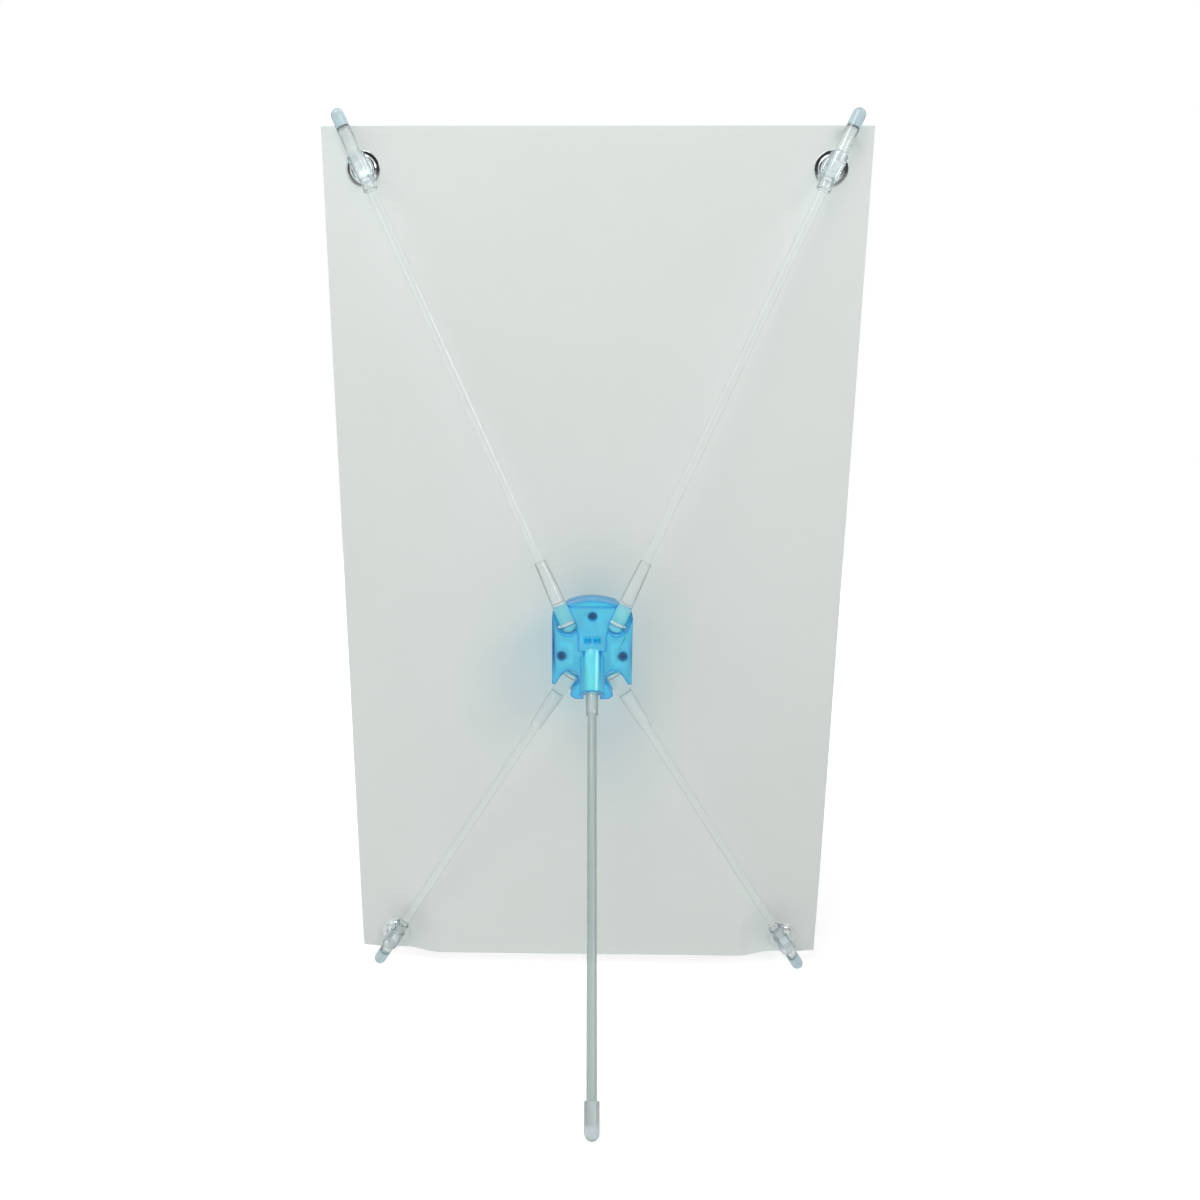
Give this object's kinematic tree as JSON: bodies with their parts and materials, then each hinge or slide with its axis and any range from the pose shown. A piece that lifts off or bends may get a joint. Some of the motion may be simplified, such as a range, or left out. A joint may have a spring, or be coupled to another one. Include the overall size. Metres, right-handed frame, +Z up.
{
  "type": "tabletop banner stand",
  "caption": "Tabletop X-shaped banner stand: four folding clear arms and a rear leg hinged in a translucent hub hold a plain banner by its corner eyelets.",
  "frame": {"origin": "bottom centre of the whole stand's bounding box, on the surface that it stands on", "axes": "+Z up; the banner's printed front faces -Y and leans back; the rear leg reaches towards +Y; X runs across the banner, left is -X seen from the front"},
  "size_m": [0.25, 0.1684, 0.4289],
  "materials": {
    "banner_film": "plain white print film, bare on both sides, satin",
    "eyelet_nickel": "bright nickel plate",
    "hub_blue": "translucent blue moulded plastic, glossy",
    "rod_clear": "clear drawn plastic rod, glossy",
    "cap_clear": "clear soft plastic with a faint blue tint, glossy",
    "steel": "zinc-plated steel"
  },
  "bodies": {
    "hub": {"hub_front_shell": "hub_blue", "hub_rear_shell": "hub_blue", "hub_screws": "steel", "upper_left_hinge_pin": "steel", "upper_right_hinge_pin": "steel", "lower_left_hinge_pin": "steel", "lower_right_hinge_pin": "steel", "leg_hinge_pin": "steel"},
    "banner": {"banner": "banner_film", "eyelets": "eyelet_nickel", "eyelet_washers": "eyelet_nickel"},
    "leg": {"leg_root": "rod_clear", "leg_rod": "rod_clear", "leg_foot_cap": "cap_clear"},
    "upper_left_arm": {"upper_left_root": "rod_clear", "upper_left_rod": "rod_clear", "upper_left_hook_cap": "cap_clear"},
    "upper_right_arm": {"upper_right_root": "rod_clear", "upper_right_rod": "rod_clear", "upper_right_hook_cap": "cap_clear"},
    "lower_left_arm": {"lower_left_root": "rod_clear", "lower_left_rod": "rod_clear", "lower_left_hook_cap": "cap_clear"},
    "lower_right_arm": {"lower_right_root": "rod_clear", "lower_right_rod": "rod_clear", "lower_right_hook_cap": "cap_clear"}
  },
  "joints": [
    {"name": "upper_left_arm_fold", "type": "hinge", "parent": "hub", "child": "upper_left_arm", "pos_m": [-0.0117, -0.02407, 0.19578], "axis": [-0.9097, -0.0685, -0.4095], "range_deg": [0, 85]},
    {"name": "upper_right_arm_fold", "type": "hinge", "parent": "hub", "child": "upper_right_arm", "pos_m": [0.0117, -0.02407, 0.19578], "axis": [-0.9097, 0.0685, 0.4095], "range_deg": [0, 85]},
    {"name": "lower_left_arm_fold", "type": "hinge", "parent": "hub", "child": "lower_left_arm", "pos_m": [-0.0108, -0.02831, 0.17043], "axis": [0.8569, -0.0851, -0.5084], "range_deg": [0, 85]},
    {"name": "lower_right_arm_fold", "type": "hinge", "parent": "hub", "child": "lower_right_arm", "pos_m": [0.0108, -0.02831, 0.17043], "axis": [0.8569, 0.0851, 0.5084], "range_deg": [0, 85]},
    {"name": "leg_fold", "type": "hinge", "parent": "hub", "child": "leg", "pos_m": [0, -0.0215, 0.18085], "axis": [-1, 0, 0], "range_deg": [0, 39.5]},
    {"name": "banner_unhook", "type": "slide", "parent": "hub", "child": "banner", "axis": [0, -0.9863, 0.165], "range_m": [0, 0.06]}
  ]
}
